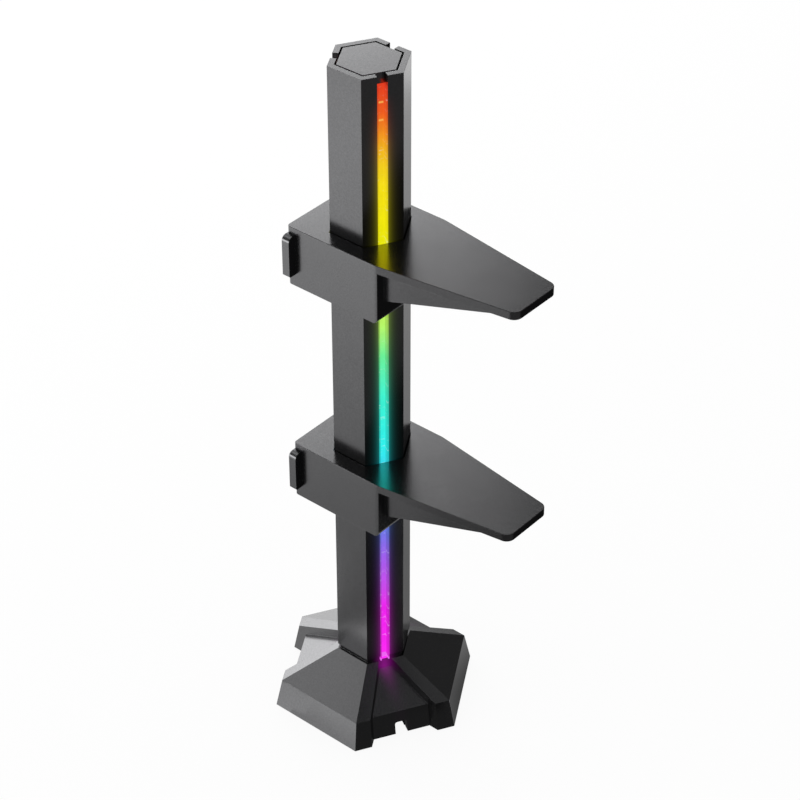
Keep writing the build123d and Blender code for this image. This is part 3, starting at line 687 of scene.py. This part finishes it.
def floor_material(settings):
    """Pale floor: part of its white is its own, so that it shows white and still takes a shadow."""
    material, tree = new_material("pale_floor")
    cloud = noise(tree, own_place(tree), FLOOR_CLOUD_SIZE, 2.0, 0.5)
    darker = grey(settings.floor_shade * FLOOR_CLOUD_SHADE)
    paint = mixed(tree, cloud, darker, grey(settings.floor_shade))
    matt = place(tree, "BsdfDiffuse", None, {"Color": paint})
    white = place(tree, "Emission", None, {"Color": grey(1.0), "Strength": 1.0})
    close(tree, "MixShader", {0: seen(tree) * settings.floor_white, 1: matt, 2: white})
    return material


def pale_world(settings):
    """Even light from all round, and a white background."""
    world = bpy.data.worlds.new("studio")
    world.use_nodes = True
    tree = world.node_tree
    tree.nodes.clear()
    ambient = place(tree, "Background", None, {"Color": grey(1.0), "Strength": settings.ambient})
    white = place(tree, "Background", None, {"Color": grey(1.0), "Strength": 1.0})
    shown = place(tree, "MixShader", None, {0: seen(tree), 1: ambient, 2: white})
    place(tree, "OutputWorld", None, {"Surface": shown})
    bpy.context.scene.world = world


class GraphiteSettings(bpy.types.PropertyGroup):
    colour: FloatVectorProperty(
        name="Colour", description="Colour of the graphite coat",
        subtype="COLOR", size=3, min=0, max=1, default=(0.165, 0.165, 0.169))
    bare_and_highlight_colour: FloatVectorProperty(
        # the bare colour paints both wear and a highlight on the edges
        name="Bare metal", description="Colour where the coat is worn through on an edge",
        subtype="COLOR", size=3, min=0, max=1, default=(0.36, 0.36, 0.37))
    roughness: FloatProperty(
        name="Roughness", description="Middle roughness of the satin coat",
        subtype="FACTOR", min=0, max=1, default=0.22)
    mottle: FloatProperty(
        name="Mottle", description="How far the coat's shade varies",
        subtype="FACTOR", min=0, max=1, default=0.18)
    # the edge wear is also a painted highlight on the edges
    wear: FloatProperty(
        name="Edge wear", description="How much bare metal shows on the edges",
        subtype="FACTOR", min=0, max=1, default=0.2)
    wear_width: FloatProperty(
        name="Wear width", description="Width of the worn edge in millimetres",
        min=0, max=2, default=0.28)
    edge_round: FloatProperty(
        name="Edge round", description="Radius of the broken edges in millimetres",
        min=0, max=1, default=0.09)


class LightSettings(bpy.types.PropertyGroup):
    strength: FloatProperty(
        name="Strength", description="Strength of the light that leaves the diffusers",
        min=0, max=10, default=0.93)
    spill: FloatProperty(
        name="Spill",
        description="How much stronger the light is in reflections than in direct view",
        min=1, max=10, default=2.0)
    # strength of the painted halo
    halo: FloatProperty(
        name="Halo", description="Strength of the halo at the edge of a light slot",
        min=0, max=1, default=0.17)
    halo_reach: FloatProperty(
        name="Halo reach", description="Distance in millimetres in which the halo falls to a third",
        min=0.1, max=10, default=0.8)
    # strength of the painted light on the base
    tongue: FloatProperty(
        name="Tongue", description="Strength of the light on the base at a slot's foot",
        min=0, max=1, default=0.15)
    tongue_width: FloatProperty(
        name="Tongue width", description="Half width of that light in millimetres",
        min=0.1, max=20, default=1.9)
    tongue_length: FloatProperty(
        name="Tongue length", description="Distance in millimetres in which it falls to a third",
        min=0.1, max=20, default=2.8)


class StageSettings(bpy.types.PropertyGroup):
    floor_size: FloatProperty(
        name="Floor", description="Side of the floor",
        unit="LENGTH", min=1, max=20, default=8.0)
    floor_shade: FloatProperty(
        name="Floor shade", description="Shade of the floor's paint",
        subtype="FACTOR", min=0, max=1, default=0.9)
    floor_white: FloatProperty(
        name="Floor white", description="Share of the floor's white that shadows leave",
        subtype="FACTOR", min=0, max=1, default=0.92)
    ambient: FloatProperty(
        name="Ambient", description="Strength of the even light from all round",
        min=0, max=3, default=0.8)
    lens: FloatProperty(
        name="Lens", description="Focal length in millimetres on a 36 mm sensor",
        min=10, max=500, default=111.26)


class BRACKET_OT_stage(bpy.types.Operator):
    """Set up the floor, the lamps, the cards that the metal mirrors, and the camera"""

    bl_idname = "bracket.stage"
    bl_label = "Stage"

    def execute(self, context):
        scene = context.scene
        settings = scene.bracket_stage
        half = settings.floor_size / 2
        floor = sheet("floor", [[(x, y, 0.0) for x in (-half, half)] for y in (-half, half)])
        floor.data.materials.append(floor_material(settings))
        pale_world(settings)

        for lamp in LAMPS:
            softbox(*lamp)
        for shape, *measures, radiance, span in CARDS:
            stage_card(shape(*measures), *radiance, span)

        eye = bpy.data.cameras.new("camera")
        eye.lens = settings.lens
        eye.sensor_width = SENSOR_WIDTH
        eye.clip_start, eye.clip_end = CLIP_NEAR, CLIP_FAR
        camera = link(bpy.data.objects.new("camera", eye))
        camera.location = CAMERA_PLACE
        camera.rotation_mode = "QUATERNION"
        camera.rotation_quaternion = Vector(CAMERA_AIM).to_track_quat("-Z", "Y")
        scene.camera = camera

        scene.view_settings.view_transform = "Standard"
        return {"FINISHED"}


class BRACKET_OT_column(bpy.types.Operator):
    """Finish the column and its cap"""

    bl_idname = "bracket.column"
    bl_label = "Column"

    def execute(self, context):
        settings, light = context.scene.bracket_graphite, context.scene.bracket_light
        # the column's coat carries the painted halo beside the slots
        dress(graphite("column_coat", settings, COLUMN_GRAIN_DEPTH, painted_slot_glow, light), "column")
        dress(graphite("cap_coat", settings), "top_cap")
        return {"FINISHED"}


class BRACKET_OT_base(bpy.types.Operator):
    """Finish the flared base"""

    bl_idname = "bracket.base"
    bl_label = "Base"

    def execute(self, context):
        settings, light = context.scene.bracket_graphite, context.scene.bracket_light
        # the base's coat carries painted tongues of light at the foot of each slot
        dress(graphite("base_coat", settings, glow=painted_foot_glow, light=light), "base_shell")
        return {"FINISHED"}


class BRACKET_OT_arms(bpy.types.Operator):
    """Finish both arms and their latch plates"""

    bl_idname = "bracket.arms"
    bl_label = "Arms"

    def execute(self, context):
        coat = graphite("arm_coat", context.scene.bracket_graphite)
        for arm in ARMS:
            dress(coat, f"{arm}_arm", f"{arm}_latch_plate")
        return {"FINISHED"}


class BRACKET_OT_lights(bpy.types.Operator):
    """Light the three diffusers, the rear and left ones with painted shade on the head, and finish
    the strips
    """

    bl_idname = "bracket.lights"
    bl_label = "Lights"

    def execute(self, context):
        settings = context.scene.bracket_light
        full = diffuser("lit_diffuser", settings)
        # the rear and left bars get painted shade at the head
        shaded_head = diffuser("shaded_head_diffuser", settings, DARK_END)
        board = moulding(
            "strip_board", (0.82, 0.82, 0.79), roughness=0.45, grain_size=0.5, grain_depth=0.01)
        for side in SIDES:
            dress(full if side == "front" else shaded_head, f"light_bar_{side}")
            dress(board, f"led_strip_{side}")
        return {"FINISHED"}


class BRACKET_OT_inner(bpy.types.Operator):
    """Finish the covers, clamps, pads, magnets, screws, board and socket"""

    bl_idname = "bracket.inner"
    bl_label = "Inner pieces"

    def execute(self, context):
        black = moulding(
            "black_moulding", (0.02, 0.02, 0.022), roughness=0.5, grain_size=0.4, grain_depth=0.02)
        rubber = moulding(
            "pad_rubber", (0.016, 0.016, 0.016), roughness=0.75, grain_size=0.6, grain_depth=0.04)
        zinc = plated("zinc_plate", (0.55, 0.56, 0.58), roughness=0.26, grain_size=0.25)
        nickel = plated("nickel_plate", (0.66, 0.64, 0.6), roughness=0.12, grain_size=0.3)
        board = printed_board("green_board", (0.02, 0.15, 0.065), track_colour=(0.06, 0.3, 0.13))
        ivory = moulding(
            "socket_moulding", (0.78, 0.76, 0.7), roughness=0.4, grain_size=0.4, grain_depth=0.01)
        dress(black, "base_cover")
        dress(rubber, "foot_pad")
        dress(nickel, "base_magnets")
        dress(zinc, "column_screws", "base_cover_screws")
        dress(board, "junction_board")
        dress(ivory, "lead_socket")
        for arm in ARMS:
            dress(black, f"{arm}_arm_cover", f"{arm}_clamp_shoe")
            dress(rubber, f"{arm}_clamp_pads")
            dress(zinc, f"{arm}_arm_screws", f"{arm}_latch_screws")
        return {"FINISHED"}


class BRACKET_OT_springs(bpy.types.Operator):
    """Wind the latch springs on their arms, in place of the model's springs"""

    bl_idname = "bracket.springs"
    bl_label = "Latch springs"

    def execute(self, context):
        steel = plated("spring_steel", (0.52, 0.52, 0.54), roughness=0.22, grain_size=0.2)
        for arm in ARMS:
            low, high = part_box(f"{arm}_latch_springs")
            middle, radius = (low.z + high.z) / 2, (high.z - low.z) / 2
            coils = []
            for y in (low.y + radius, high.y - radius):
                start = Vector((low.x + SPRING_WIRE / 2, y, middle))
                end = Vector((high.x - SPRING_WIRE / 2, y, middle))
                coils.append(coil(start, end, radius - SPRING_WIRE / 2))
            springs = wires(f"{arm}_latch_coils", coils)
            springs.data.materials.append(steel)
            pull = next(joint for joint in frame["joints"] if joint["name"] == f"{arm}_latch_pull")
            kept = 1 - max(pull["range_m"]) / (high.x - low.x)
            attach(springs, f"{arm}_arm")
            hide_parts(f"{arm}_latch_springs")
            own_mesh(springs)
        return {"FINISHED"}


class BRACKET_PT_panel(bpy.types.Panel):
    """Sizes and colours of the bracket, with the steps that build it"""

    bl_idname = "BRACKET_PT_panel"
    bl_label = "Card Bracket"
    bl_space_type = "VIEW_3D"
    bl_region_type = "UI"
    bl_category = "Card Bracket"

    def draw(self, context):
        scene = context.scene
        groups = {
            "Graphite": scene.bracket_graphite,
            "Light": scene.bracket_light,
            "Stage": scene.bracket_stage,
        }
        for title, group in groups.items():
            box = self.layout.box()
            box.label(text=title)
            for name in group.__annotations__:
                box.prop(group, name)
        for step in STEPS:
            self.layout.operator(step.bl_idname)


STEPS = (
    BRACKET_OT_stage,
    BRACKET_OT_column,
    BRACKET_OT_base,
    BRACKET_OT_arms,
    BRACKET_OT_lights,
    BRACKET_OT_inner,
    BRACKET_OT_springs,
)
CLASSES = (GraphiteSettings, LightSettings, StageSettings, *STEPS, BRACKET_PT_panel)


def register():
    for cls in CLASSES:
        bpy.utils.register_class(cls)
    bpy.types.Scene.bracket_graphite = PointerProperty(type=GraphiteSettings)
    bpy.types.Scene.bracket_light = PointerProperty(type=LightSettings)
    bpy.types.Scene.bracket_stage = PointerProperty(type=StageSettings)


def unregister():
    del bpy.types.Scene.bracket_stage
    del bpy.types.Scene.bracket_light
    del bpy.types.Scene.bracket_graphite
    for cls in reversed(CLASSES):
        bpy.utils.unregister_class(cls)


def main():
    register()
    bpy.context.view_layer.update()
    bpy.ops.bracket.stage()
    bpy.ops.bracket.column()
    bpy.ops.bracket.base()
    bpy.ops.bracket.arms()
    bpy.ops.bracket.lights()
    bpy.ops.bracket.inner()
    bpy.ops.bracket.springs()


if __name__ == "__main__":
    main()
